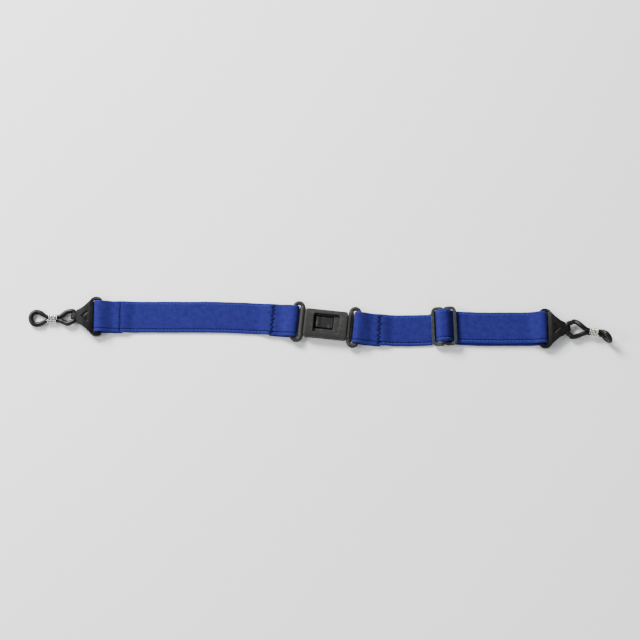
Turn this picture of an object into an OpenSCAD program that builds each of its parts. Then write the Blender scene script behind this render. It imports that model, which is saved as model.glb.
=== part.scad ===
// Eyeglasses strap: two rubber temple loops with wound-wire ferrules, two moulded
// end connectors, webbing, a breakaway buckle and a length slider.
// The strap lies flat along X, left end at -X, with the surface it lies on at Z = 0.

/* [Webbing] */
// Width of the webbing
webbing_width = 16; // [14:0.5:16]
// Thickness of one layer of webbing
webbing_thickness = 1.3; // [1:0.1:1.4]
// Play between a bar and the webbing folded round it
fold_play = 0.15; // [0.1:0.05:0.15]

/* [Bars and rings] */
// Diameter of the bars that the webbing turns on
bar_diameter = 2.2; // [2:0.1:2.4]
// Diameter of the buckle's ring bars
ring_bar_diameter = 2.1; // [1.8:0.1:2.2]
// Height of a buckle ring, across the strap
ring_height = 21.2; // [20.5:0.1:22]
// Distance between the two bars of a buckle ring
ring_pitch = 4.2; // [4.1:0.1:5]

/* [Buckle] */
// Length of the socket's body
socket_length = 21.2; // [20:0.1:22]
// Width of the socket's body
socket_width = 14.3; // [13.5:0.1:15]
// Thickness of the socket's body
socket_thickness = 5; // [4.6:0.1:5.4]
// How far the buckle lies turned, in degrees
buckle_turn = -6; // [-8:1:0]

/* [Slider] */
// Slider's length along the strap
slider_length = 12.8; // [12.4:0.1:13.2]
// Slider's height across the strap
slider_height = 20; // [19.8:0.1:21]
// Thickness of the slider's frame
slider_thickness = 1.4; // [1.2:0.1:1.6]

/* [End connectors] */
// Height of a connector, across the strap
connector_height = 20.4; // [20:0.1:21]
// Thickness of a connector
connector_thickness = 4; // [3.8:0.1:4.2]
// Distance from a connector's bar to the bore in its tip
connector_reach = 12.1; // [11.5:0.1:13]

/* [Rubber loops] */
// Diameter of the rubber strand
strand_diameter = 2.5; // [2.2:0.1:2.6]
// Diameter of the wire wound round the loop
wire_diameter = 0.6; // [0.5:0.05:0.7]

/* [Hidden] */
$fn = 48;

black_plastic = "#3a3a38";
webbing_blue = "#2d3c91";
thread_blue = "#1d2766";
rubber_black = "#202022";
wire_silver = "#c4c2bd";

t = webbing_thickness;
ply_gap = 0.05;               // between two plies that lie on each other
bar_r = bar_diameter / 2;
fold_r = bar_r + fold_play + t / 2;     // of the middle of the webbing round a bar
bar_z = fold_r + t / 2;                 // a bar's height when its fold lies on the table
one_ply = t / 2;                        // height of the middle of the bottom ply
two_ply = 1.5 * t + ply_gap;            // and of the ply on top of it
centre = [-0.09, 0.29];                // moves the whole strap so that its box is centred

// ---------- Poses in the plane: [x, y, heading in degrees] ----------

function travel(pose, distance, turn) =
    abs(turn) < 0.001
    ? [pose[0] + distance * cos(pose[2]), pose[1] + distance * sin(pose[2]), pose[2]]
    : let (r = distance / turn * 180 / PI)
      [pose[0] + r * (sin(pose[2] + turn) - sin(pose[2])),
       pose[1] - r * (cos(pose[2] + turn) - cos(pose[2])), pose[2] + turn];

// The pose at a distance along a run of arcs, each [length, turn]
function along(pose, arcs, distance, i = 0) =
    i == len(arcs) - 1 || distance <= arcs[i][0]
    ? travel(pose, distance, arcs[i][1] * distance / arcs[i][0])
    : along(travel(pose, arcs[i][0], arcs[i][1]), arcs, distance - arcs[i][0], i + 1);

function shifted(pose, forward, side) =
    [pose[0] + forward * cos(pose[2]) - side * sin(pose[2]),
     pose[1] + forward * sin(pose[2]) + side * cos(pose[2]), pose[2]];

module at(pose) translate([pose[0], pose[1], 0]) rotate(pose[2]) children();

function smooth(a, b, x) =
    let (s = min(1, max(0, (x - a) / (b - a)))) s * s * (3 - 2 * s);

// ---------- Where things lie ----------

buckle = [centre[0] + 3.1, centre[1] - 1.4, buckle_turn];
socket_bar = socket_length / 2 + 1.7;           // visible bar of the socket's ring
plug_bar = socket_length / 2 + 1.45;            // visible bar of the plug's ring
socket_fold_bar = socket_bar + ring_pitch;
plug_fold_bar = plug_bar + ring_pitch;

// The left webbing runs from the socket's ring to the left connector
left_start = [for (p = shifted(buckle, -socket_fold_bar, 0)) p] + [0, 0, 180];
left_arcs = [[47, -buckle_turn], [51.2, 0]];
left_length = left_arcs[0][0] + left_arcs[1][0];
left_connector = along(left_start, left_arcs, left_length);

// The right webbing runs from the plug's ring to the slider
right_start = shifted(buckle, plug_fold_bar, 0);
right_arcs = [[26, 7], [12, 2]];
right_length = 35.2;

// The doubled part runs from the slider's centre bar to the right connector
slider = [centre[0] + 62.6, centre[1] - 2.4, 2];
slider_roll = -8;
slider_bar_r = 0.8;
slider_bar_z = 3;
sewn_r = slider_bar_r + fold_play + t / 2;
run_start = [slider[0], slider[1] + 0.2, -4];
run_arcs = [[26, 4], [23.6, 1]];
run_length = run_arcs[0][0] + run_arcs[1][0];
run_end = along(run_start, run_arcs, run_length);
under_side = -1;                               // how far the lower run lies to the side
right_connector = [run_end[0], run_end[1] + under_side / 2, 0];

// ---------- Sweeps ----------

// A band w wide and h thick, along a path of [distance, height] in the upright plane
// over a run of arcs, moved sideways by side(distance)
function path_normal(path, i) =
    let (a = path[max(0, i - 1)], b = path[min(len(path) - 1, i + 1)], d = b - a)
    [-d[1], d[0]] / norm(d);

function on_run(pose, arcs, p, side) =
    let (q = shifted(along(pose, arcs, p[0]), 0, side)) [q[0], q[1], p[1]];

module band(pose, arcs, path, w, h, side = 0) {
    n = len(path);
    corners = [[-1, -1], [1, -1], [1, 1], [-1, 1]];
    points = [
        for (i = [0 : n - 1]) let (normal = path_normal(path, i))
            for (c = corners)
                on_run(pose, arcs, path[i] + normal * c[1] * h / 2, side + c[0] * w / 2)
    ];
    tube(points, n, 4, false);
}

// Rings of k points each, joined in order; closed when the last ring meets the first
module tube(points, n, k, closed) {
    walls = [
        for (i = [0 : n - (closed ? 1 : 2)]) for (j = [0 : k - 1])
            let (m = (i + 1) % n, l = (j + 1) % k)
            [i * k + j, m * k + j, m * k + l, i * k + l]
    ];
    ends = closed ? [] : [
        [for (j = [0 : k - 1]) j],
        [for (j = [k - 1 : -1 : 0]) (n - 1) * k + j]
    ];
    polyhedron(points, concat(walls, ends), convexity = 8);
}

// ---------- Webbing ----------

// Half a turn round a bar, from below it to above it, on the side that dir points to
function half_turn(distance, height, r, dir) =
    [for (i = [0 : 12]) [distance + dir * r * sin(i * 15), height - r * cos(i * 15)]];

tail = 11.6;          // the ply that is folded back under and sewn down
stitch_at = 10.6;     // the row of stitches that holds it
slope_end = 7.6;      // the upper ply has come down onto the lower one
drop_end = 18;        // and beyond the tail it has come down to the table

// Height of the upper ply at a distance from its bar
function upper_height(d) =
    bar_z + fold_r
    - (bar_z + fold_r - two_ply) * smooth(0, slope_end, d)
    - (two_ply - one_ply) * smooth(tail + 0.4, drop_end, d);

function fold_and_down(distances) = [for (d = distances) [d, upper_height(d)]];
near_fold = [0.8 : 0.8 : 18.4];

left_path = concat(
    [for (d = [tail : -1.2 : 0.5]) [d, one_ply]],
    half_turn(0, bar_z, fold_r, -1),
    fold_and_down(near_fold),
    [for (i = [1 : 20]) [20 + i * (left_length - 40) / 21, one_ply]],
    [for (d = [18.4 : -0.8 : 0.8]) [left_length - d, upper_height(d)]],
    [for (p = [12 : -1 : 0]) half_turn(left_length, bar_z, fold_r, 1)[p]],
    [for (d = [0.5 : 1.2 : tail]) [left_length - d, one_ply]]
);

module left_webbing()
    color(webbing_blue) band(left_start, left_arcs, left_path, webbing_width, t);

right_path = concat(
    [for (d = [tail : -1.2 : 0.5]) [d, one_ply]],
    half_turn(0, bar_z, fold_r, -1),
    fold_and_down(near_fold),
    [for (i = [1 : 6]) [18.4 + i * (right_length - 18.4) / 6, one_ply]]
);

module right_webbing()
    color(webbing_blue) band(right_start, right_arcs, right_path, webbing_width, t);

// The webbing rises under the slider's left bar, over the centre bar and its sewn end,
// and goes back down under the right bar
bar_reach = slider_length / 2 - 0.7;
over_z = slider_bar_z + sewn_r + t + ply_gap;
over_start = -7.6;
over_end = 8.6;

function over_height(d) =
    d < 0
    ? one_ply + 0.08 * smooth(over_start, -bar_reach, d)
        + (over_z - one_ply - 0.08) * smooth(-bar_reach + 1.1, -1.45, d)
    : over_z - (over_z - two_ply - 0.1) * smooth(0.6, bar_reach - 0.8, d)
        - 0.1 * smooth(bar_reach, over_end, d);

over_path = [for (d = [over_start : 0.45 : over_end + 0.1]) [d, over_height(d)]];

module webbing_over_bar()
    color(webbing_blue)
        band(shifted(slider, over_start, 0.3), [[20, 0]],
            [for (p = over_path) p - [over_start, 0]], webbing_width, t);

sewn_tail = 2.4;

// The tail lies against the underside of the ply that goes over the bar
function under_the_upper_ply(d) =
    let (slope = [0.1, over_height(d + 0.05) - over_height(d - 0.05)])
    [d, over_height(d)] - (t + ply_gap) * [-slope[1], slope[0]] / norm(slope);

sewn_path = concat(
    [for (d = [8.6 : -1.2 : 0.8])
        [d, one_ply + (slider_bar_z - sewn_r - one_ply) * smooth(6, 0.5, d)]],
    half_turn(0, slider_bar_z, sewn_r, -1),
    [for (d = [0.6 : 0.45 : sewn_tail]) under_the_upper_ply(d)]
);

module webbing_sewn_end()
    color(webbing_blue) band(slider, [[20, 0]], sewn_path, webbing_width, t);

run_from = 9.5;
run_to = 7.8;       // from the connector's bar

module upper_run()
    color(webbing_blue)
        band(run_start, run_arcs,
            [for (i = [0 : 12])
                [run_from + i * (run_length - run_to - run_from) / 12, two_ply]],
            webbing_width, t);

module lower_run()
    color(webbing_blue)
        band(run_start, run_arcs,
            [for (i = [0 : 12])
                [run_from + i * (run_length - run_to - run_from) / 12, one_ply]],
            webbing_width, t, under_side);

module webbing_end_fold()
    color(webbing_blue)
        band([run_end[0] - 7.5, run_end[1], 0], [[20, 0]],
            concat(
                [for (d = [0 : 0.75 : 6.8])
                    [d, bar_z + fold_r - (bar_z + fold_r - two_ply) * smooth(7, 0, d)]],
                [for (p = [12 : -1 : 0]) half_turn(7.5, bar_z, fold_r, 1)[p]],
                [for (d = [6.8 : -0.75 : 0]) [d, one_ply]]
            ), webbing_width, t);

// ---------- Threads ----------

thread = 0.3;          // thickness of the sewing thread
seam_in = 6.4;         // the hem's seam, from the webbing's middle

// One row of straight stitches across the webbing, on a ply whose top is at height z
module straight_stitches(pose, z, count)
    for (i = [0 : count - 1])
        at(shifted(pose, 0, (i - (count - 1) / 2) * 1.6))
            translate([-thread / 2, -0.55, z]) cube([thread, 1.1, thread]);

// One zigzag row across the webbing
module zigzag_stitches(pose, z, count)
    for (i = [0 : count - 1])
        at(shifted(pose, 0, (i - (count - 1) / 2) * 1.25))
            rotate(i % 2 == 0 ? 40 : -40)
                translate([-thread / 2, -0.65, z]) cube([thread, 1.3, thread]);

// A seam that runs along the webbing: one stitch after another on a run of arcs
module seam_stitches(pose, arcs, from, to, side, z)
    for (d = [from : 2.2 : to - 1.6])
        at(shifted(along(pose, arcs, d), 0, side))
            translate([0, -thread / 2, z]) cube([1.5, thread, thread]);

module left_end_stitches()
    color(thread_blue)
        straight_stitches(along(left_start, left_arcs, left_length - stitch_at),
            two_ply + t / 2 + 0.01, 9);

module left_buckle_stitches()
    color(thread_blue)
        zigzag_stitches(along(left_start, left_arcs, stitch_at), two_ply + t / 2 + 0.01, 11);

module right_buckle_stitches()
    color(thread_blue)
        zigzag_stitches(along(right_start, right_arcs, stitch_at), two_ply + t / 2 + 0.01, 11);

module left_hem_thread()
    color(thread_blue)
        seam_stitches(left_start, left_arcs, 19.2, left_length - 19, seam_in, t + 0.01);

module left_edge_thread()
    color(thread_blue)
        seam_stitches(left_start, left_arcs, 19.2, left_length - 19, -seam_in, t + 0.01);

module right_hem_thread()
    color(thread_blue)
        seam_stitches(right_start, right_arcs, 19.2, right_length, -seam_in, t + 0.01);

module right_edge_thread()
    color(thread_blue)
        seam_stitches(right_start, right_arcs, 19.2, right_length, seam_in, t + 0.01);

module run_hem_thread()
    color(thread_blue)
        seam_stitches(run_start, run_arcs, run_from + 0.4, run_length - run_to - 0.4,
            -seam_in, two_ply + t / 2 + 0.01);

module run_edge_thread()
    color(thread_blue)
        seam_stitches(run_start, run_arcs, run_from + 0.4, run_length - run_to - 0.4,
            seam_in, two_ply + t / 2 + 0.01);

// ---------- Breakaway buckle ----------

// A ring of round bar with round ends: the near bar at x, the far bar one pitch beyond
module bar_ring(x, dir, height) {
    bend_r = ring_pitch / 2;
    straight = ring_height - ring_pitch - ring_bar_diameter;
    for (far = [0, 1])
        translate([x + dir * far * ring_pitch, 0, height])
            rotate([90, 0, 0])
                cylinder(d = ring_bar_diameter + (far ? 0 : 0.5), h = straight, center = true);
    for (up = [0, 1])
        translate([x + dir * bend_r, (up - 0.5) * straight, height])
            rotate(up * 180 + 180)
                rotate_extrude(angle = 180)
                    translate([bend_r, 0]) circle(d = ring_bar_diameter + 0.1);
}

// A rectangle with round corners, from x0 to x1
module round_rectangle(x0, x1, y0, y1, r)
    union() {
        translate([x0 + r, y0]) square([x1 - x0 - 2 * r, y1 - y0]);
        translate([x0, y0 + r]) square([x1 - x0, y1 - y0 - 2 * r]);
        for (x = [x0 + r, x1 - r], y = [y0 + r, y1 - r]) translate([x, y]) circle(r);
    }

pocket_half = 5.2;          // half the width of the pocket for the plug's blade
pocket_z = [1.3, 3.7];      // the pocket's floor and roof
pocket_end = -7.2;
window_x = [-6.4, 6.6];
window_y = [-4.6, 4.9];
slide_play = 0.1;
end_x = socket_length / 2;

tongue_x = [-5.2, 3];       // free end and root axis
tongue_y = [-1.9, 3.5];
tongue_slot = 0.75;
tongue_z = [2.3, 3.6];
tongue_pivot_z = 2.55;
tongue_pivot_r = 1;

module buckle_socket()
    color(black_plastic) at(buckle) union() {
        difference() {
            linear_extrude(socket_thickness)
                round_rectangle(-end_x, end_x, -socket_width / 2, socket_width / 2, 1.2);
            translate([pocket_end, -pocket_half, pocket_z[0]])
                cube([end_x - pocket_end + 1, 2 * pocket_half, pocket_z[1] - pocket_z[0]]);
            translate([0, 0, pocket_z[1] - 0.5])
                linear_extrude(socket_thickness)
                    round_rectangle(window_x[0], window_x[1], window_y[0], window_y[1], 0.8);
            // relief over the tongue's way out
            translate([window_x[1] - 1, tongue_y[0] - 0.3, pocket_z[1] - 0.5])
                cube([end_x, tongue_y[1] - tongue_y[0] + 0.6, 1]);
        }
        translate([-socket_bar, -6.4, bar_z - 0.75])
            cube([socket_bar - end_x + 0.6, 12.8, 1.5]);
        bar_ring(-socket_bar, -1, bar_z);
    }

blade_x = [pocket_end + 0.3, end_x + 0.2];
blade_half = pocket_half - slide_play;
blade_z = [pocket_z[0] + slide_play, pocket_z[1] - slide_play];

module buckle_plug()
    color(black_plastic) at(buckle) union() {
        difference() {
            translate([blade_x[0], -blade_half, blade_z[0]])
                cube([blade_x[1] - blade_x[0], 2 * blade_half, blade_z[1] - blade_z[0]]);
            translate([tongue_x[0] - 1, tongue_y[0] - tongue_slot, 0])
                cube([tongue_x[1] - tongue_x[0] + 1, tongue_y[1] - tongue_y[0] + 2 * tongue_slot,
                    socket_thickness]);
            translate([tongue_x[1], (tongue_y[0] + tongue_y[1]) / 2, tongue_pivot_z])
                rotate([90, 0, 0])
                    cylinder(r = tongue_pivot_r + 0.1,
                        h = tongue_y[1] - tongue_y[0] + 2 * tongue_slot, center = true);
        }
        // the shoulder that stops against the socket's mouth
        translate([end_x + 0.1, -6.2, 1]) cube([plug_bar - end_x + 0.1, 12.4, 3.4]);
        bar_ring(plug_bar, 1, bar_z);
    }

// A press tongue in the blade, with a raised end and a round root
module latch_tongue()
    color(black_plastic) at(buckle) union() {
        translate([tongue_x[1], (tongue_y[0] + tongue_y[1]) / 2, tongue_pivot_z])
            rotate([90, 0, 0])
                cylinder(r = tongue_pivot_r, h = tongue_y[1] - tongue_y[0], center = true);
        translate([tongue_x[0], tongue_y[1], 0])
            rotate([90, 0, 0])
                linear_extrude(tongue_y[1] - tongue_y[0])
                    polygon([
                        [0, tongue_z[0] + 0.3], [0.5, tongue_z[0]],
                        [tongue_x[1] - tongue_x[0], tongue_z[0] - 0.5],
                        [tongue_x[1] - tongue_x[0], tongue_z[1] - 0.1],
                        [2.6, tongue_z[1]], [1.4, tongue_z[1] + 0.35], [0.5, tongue_z[1] + 0.35],
                        [0, tongue_z[1]]
                    ]);
    }

// ---------- Slider ----------

// Two rounded windows side by side, which meet in a notch over the centre bar
module slider_frame() {
    half = slider_length / 2;
    wall = 1.6;
    lobe = half + 0.8;
    color(black_plastic) at(slider) translate([0, 0, slider_bar_z]) rotate([0, slider_roll, 0])
        union() {
            difference() {
                translate([0, 0, -slider_thickness / 2])
                    linear_extrude(slider_thickness)
                        difference() {
                            union() for (side = [0, 1])
                                rotate(side * 180)
                                    round_rectangle(-half, lobe - half,
                                        -slider_height / 2, slider_height / 2, 2.8);
                            round_rectangle(wall - half, half - wall,
                                -slider_height / 2 + wall, slider_height / 2 - wall, 1);
                        }
            }
            rotate([90, 0, 0])
                cylinder(r = slider_bar_r, h = slider_height - 1.8, center = true);
        }
}

// ---------- End connectors ----------

// The outline with its bar on the Y axis and its tip towards +X
neck_half = 3.1;
shoulder_x = 3.3;
shoulder_y = connector_height / 2 - 0.55;
lobe_r = 3.4;
slot_half = 8.6;
slot_x = fold_r + t / 2 + 0.35;      // the near edge of the triangle, clear of the fold
body_z = [0.35, 0.35 + connector_thickness];
bore_z = (body_z[0] + body_z[1]) / 2;
bore_r = strand_diameter / 2 + 0.1;
hub_half = 1.3;

function flank(s) =
    [connector_reach - 0.4 - s * (connector_reach - 0.4 - shoulder_x),
     neck_half + (shoulder_y - neck_half) * pow(s, 1.6)];

module connector_outline() {
    upper = [for (i = [0 : 12]) flank(i / 12)];
    polygon(concat(
        [[connector_reach, neck_half]], upper, [[slot_x, shoulder_y - 0.1]],
        [[slot_x, 0.1 - shoulder_y]],
        [for (i = [12 : -1 : 0]) [upper[i][0], -upper[i][1]]], [[connector_reach, -neck_half]]
    ));
}

module connector_lobes()
    for (s = [-1, 1])
        intersection() {
            translate([1.2, s * (connector_height / 2 - lobe_r)]) circle(lobe_r);
            translate([-5, s > 0 ? slot_half : -slot_half - 5]) square([12, 5]);
        }

module end_connector()
    union() {
        difference() {
            union() {
                translate([0, 0, body_z[0]])
                    linear_extrude(connector_thickness) {
                        connector_outline();
                        connector_lobes();
                    }
                // the rounded tip round the bore
                translate([connector_reach, 0, bore_z])
                    rotate([90, 0, 0])
                        cylinder(r = connector_thickness / 2, h = 2 * hub_half, center = true);
            }
            translate([connector_reach, 0, bore_z])
                rotate([90, 0, 0]) cylinder(r = bore_r, h = 3 * neck_half, center = true);
            // room for the strand to turn at each mouth of the bore
            for (s = [-1, 1])
                translate([connector_reach, s * (hub_half + 1.5), bore_z])
                    rotate([90, 0, 0])
                        cylinder(r = connector_thickness / 2 + 0.06, h = 3, center = true);
            // the sunk arrow on the upper face
            translate([0, 0, body_z[1] - 0.5])
                linear_extrude(1)
                    polygon([[8.9, 0], [5.8, 2.6], [5.2, 2.1], [7.4, 0], [5.2, -2.1], [5.8, -2.6]]);
        }
        translate([0, 0, bar_z])
            rotate([90, 0, 0]) cylinder(d = bar_diameter, h = 2 * slot_half + 0.8, center = true);
    }

module left_end_connector()
    color(black_plastic) at(left_connector) end_connector();

module right_end_connector()
    color(black_plastic) at(right_connector) end_connector();

// ---------- Rubber loops and their ferrules ----------

strand_r = strand_diameter / 2;
pinched_r = 0.9;            // the strand's radius inside the ferrule
pinched_v = pinched_r + 0.03;
turn_r = 1.55;              // of the strand's middle where it leaves the bore
coil_length = 5.2;
coil_play = 0.06;

// Half of the ring's middle line as [u, v], from the bore to the far end. Inner half-width
// wi, strands side by side from c[0] to c[1], outer half-width wo at uo, far end at ue.
function ring_half(wi, c, wo, uo, ue) = concat(
    [for (v = [0, 0.65]) [0, v]],
    [for (a = [0 : 22.5 : 90]) [turn_r * (1 - cos(a)), hub_half + turn_r * sin(a)]],
    [for (i = [1 : 3]) [turn_r + i * 0.5,
        hub_half + turn_r + (wi - hub_half - turn_r) * smooth(0, 3, i)]],
    [for (i = [1 : 8]) let (s = i / 9) [turn_r + 1.5 + s * (c[0] - turn_r - 1.5),
        wi + (pinched_v - wi) * smooth(0, 1, s)]],
    [for (i = [0 : 4]) [c[0] + i * (c[1] - c[0]) / 4, pinched_v]],
    [for (i = [1 : 6]) let (s = i / 6) [c[1] + s * (uo - c[1]),
        pinched_v + (wo - pinched_v) * sin(90 * s)]],
    [for (a = [18 : 18 : 90]) [uo + (ue - uo) * sin(a), wo * cos(a)]]
);

function mirrored_half(half) =
    [for (i = [len(half) - 2 : -1 : 1]) [half[i][0], -half[i][1]]];

function strand_radius(u, c) =
    strand_r - (strand_r - pinched_r) * smooth(c[0] - 2, c[0], u) * smooth(c[1] + 3, c[1], u);

// The loop's own line: [x, y, z, heading, roll] at a distance u from the bore
function left_line(u) =
    [u, 0.6 * smooth(0.5, 4, u) + 0.4 * smooth(4, 8.2, u) - 0.3 * smooth(15, 20, u),
     bore_z - (bore_z - 1.6) * smooth(1.2, 7, u) - 0.3 * smooth(15.5, 20, u), 0, 0];

right_bend = [[3, -12], [7, 4], [6.9, 0], [3.2, -44], [6, 0]];
function right_line(u) =
    let (p = along([0, 0, 0], right_bend, u))
    [p[0], p[1], bore_z + 0.65 * smooth(1.5, 8.5, u) + 1.1 * smooth(16.9, 19, u),
     p[2], 28 * smooth(3, 9, u) + 51 * smooth(16.9, 19, u)];

function line_point(line, v) =
    [line[0] - v * cos(line[4]) * sin(line[3]), line[1] + v * cos(line[4]) * cos(line[3]),
     line[2] + v * sin(line[4])];

// A closed tube of varying radius round a ring of points
module ring_tube(points, radii, sides) {
    n = len(points);
    rings = [
        for (i = [0 : n - 1])
            let (d = points[(i + 1) % n] - points[(i + n - 1) % n],
                 forward = d / norm(d),
                 out = cross(forward, [0, 0, 1]),
                 side = out / norm(out),
                 up = cross(side, forward))
            for (j = [0 : sides - 1])
                points[i] + radii[i] * (side * cos(360 * j / sides) + up * sin(360 * j / sides))
    ];
    tube(rings, n, sides, true);
}

// Where the two strands of each loop lie side by side, and where its ferrule starts
left_pinch = [8.2, 14.3];
left_coil = 8.7;
right_pinch = [10.8, 16.8];
right_coil = 11.3;
left_half = ring_half(3.1, left_pinch, 3.25, 19.4, 22.25);
right_half = ring_half(4.0, right_pinch, 2.5, 20.2, 23.4);

module left_rubber_loop() {
    ring = concat(left_half, mirrored_half(left_half));
    color(rubber_black) at(left_connector) translate([connector_reach, 0, 0])
        ring_tube([for (p = ring) line_point(left_line(p[0]), -p[1])],
            [for (p = ring) strand_radius(p[0], left_pinch)], 10);
}

module right_rubber_loop() {
    ring = concat(right_half, mirrored_half(right_half));
    color(rubber_black) at(right_connector) translate([connector_reach, 0, 0])
        ring_tube([for (p = ring) line_point(right_line(p[0]), p[1])],
            [for (p = ring) strand_radius(p[0], right_pinch)], 10);
}

// A flat-sided oval, long across the two strands
module oval(extra)
    union() {
        r = pinched_r + coil_play + extra;
        for (s = [-1, 1]) translate([s * pinched_v, 0]) circle(r);
        translate([-pinched_v, -r]) square([2 * pinched_v, 2 * r]);
    }

// Close turns of wire: ridges on a thin sleeve
module coil_ferrule() {
    turns = 7;
    pitch = coil_length / turns;
    groove = 0.16;
    rotate([90, 0, 90])
        difference() {
            union() {
                linear_extrude(coil_length - groove) oval(wire_diameter * 0.7);
                for (i = [0 : turns - 1])
                    translate([0, 0, i * pitch]) linear_extrude(pitch - groove) oval(wire_diameter);
            }
            translate([0, 0, -1]) linear_extrude(coil_length + 2) oval(0);
        }
}

module left_coil_ferrule()
    color(wire_silver) at(left_connector)
        translate([connector_reach + left_coil, left_line(left_coil)[1], left_line(left_coil)[2]])
            coil_ferrule();

module right_coil_ferrule() {
    mid = right_line(right_coil + coil_length / 2);
    color(wire_silver) at(right_connector)
        translate([connector_reach + mid[0], mid[1], mid[2]])
            rotate([0, 0, mid[3]]) rotate([mid[4], 0, 0])
                translate([-coil_length / 2, 0, 0]) coil_ferrule();
}

left_rubber_loop();
left_coil_ferrule();
left_end_connector();
left_webbing();
left_end_stitches();
left_buckle_stitches();
left_hem_thread();
left_edge_thread();
buckle_socket();
buckle_plug();
latch_tongue();
right_webbing();
right_buckle_stitches();
right_hem_thread();
right_edge_thread();
slider_frame();
webbing_over_bar();
webbing_sewn_end();
upper_run();
lower_run();
webbing_end_fold();
run_hem_thread();
run_edge_thread();
right_end_connector();
right_rubber_loop();
right_coil_ferrule();
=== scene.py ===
import math

import bpy
import numpy as np
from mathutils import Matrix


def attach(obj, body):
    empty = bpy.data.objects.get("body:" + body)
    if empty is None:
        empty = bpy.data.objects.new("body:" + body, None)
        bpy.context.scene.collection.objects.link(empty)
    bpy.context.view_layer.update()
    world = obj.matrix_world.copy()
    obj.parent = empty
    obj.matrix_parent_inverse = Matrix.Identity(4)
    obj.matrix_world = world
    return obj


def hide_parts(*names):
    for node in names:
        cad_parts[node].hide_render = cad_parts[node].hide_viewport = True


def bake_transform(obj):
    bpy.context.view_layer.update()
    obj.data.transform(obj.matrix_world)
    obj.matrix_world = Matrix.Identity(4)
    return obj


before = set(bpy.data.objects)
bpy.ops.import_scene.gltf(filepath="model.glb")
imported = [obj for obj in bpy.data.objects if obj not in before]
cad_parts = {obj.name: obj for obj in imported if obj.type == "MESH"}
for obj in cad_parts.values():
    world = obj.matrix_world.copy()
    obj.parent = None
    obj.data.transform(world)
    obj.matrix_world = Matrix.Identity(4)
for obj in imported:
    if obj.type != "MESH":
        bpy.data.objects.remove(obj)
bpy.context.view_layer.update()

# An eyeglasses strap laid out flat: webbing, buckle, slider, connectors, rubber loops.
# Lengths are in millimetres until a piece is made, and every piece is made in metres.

MM = 0.001


# ---------- Camera and light ----------

VIEW_UP, VIEW_DISTANCE, VIEW_WIDTH = 78, 1.1, 0.323     # degrees, metres, metres
VIEW_TARGET = (0.0, 1.66, 0.35)
SENSOR = 36


def stand_camera():
    """A long lens over the strap's near side that takes in VIEW_WIDTH metres across."""
    up = math.radians(VIEW_UP)
    camera = bpy.data.objects.new("camera", bpy.data.cameras.new("camera"))
    camera.location = (np.array(VIEW_TARGET) * MM
                       + VIEW_DISTANCE * np.array([0, -math.cos(up), math.sin(up)]))
    camera.rotation_euler = (math.radians(90) - up, 0, 0)
    camera.data.sensor_width = SENSOR
    camera.data.lens = SENSOR * VIEW_DISTANCE / VIEW_WIDTH
    camera.data.clip_start = 0.05
    bpy.context.collection.objects.link(camera)
    bpy.context.scene.camera = camera


def hang_light(name, place, size, power):
    """A square soft box at place that faces the strap's middle."""
    lamp = bpy.data.lights.new(name, "AREA")
    lamp.shape, lamp.size, lamp.energy = "SQUARE", size, power
    box = bpy.data.objects.new(name, lamp)
    box.location = place
    box.rotation_euler = (-box.location).to_track_quat("-Z", "Y").to_euler()
    bpy.context.collection.objects.link(box)


stand_camera()
hang_light("soft_box_far", (-0.65, 0.8, 0.72), 0.5, 46)
hang_light("soft_box_left", (-0.9, -0.1, 0.7), 0.4, 7)
hang_light("soft_box_near", (0.4, -0.8, 0.6), 0.5, 2.5)
world = bpy.data.worlds.new("pale_room")
world.use_nodes = True
sky = world.node_tree.nodes["Background"]
sky.inputs["Color"].default_value = (0.93, 0.95, 1, 1)
sky.inputs["Strength"].default_value = 0.38
bpy.context.scene.world = world


# ---------- Materials ----------

MAP_MIDDLE = 20.0
RIB_PITCH, PICK_PITCH = 0.9, 1.05


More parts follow.
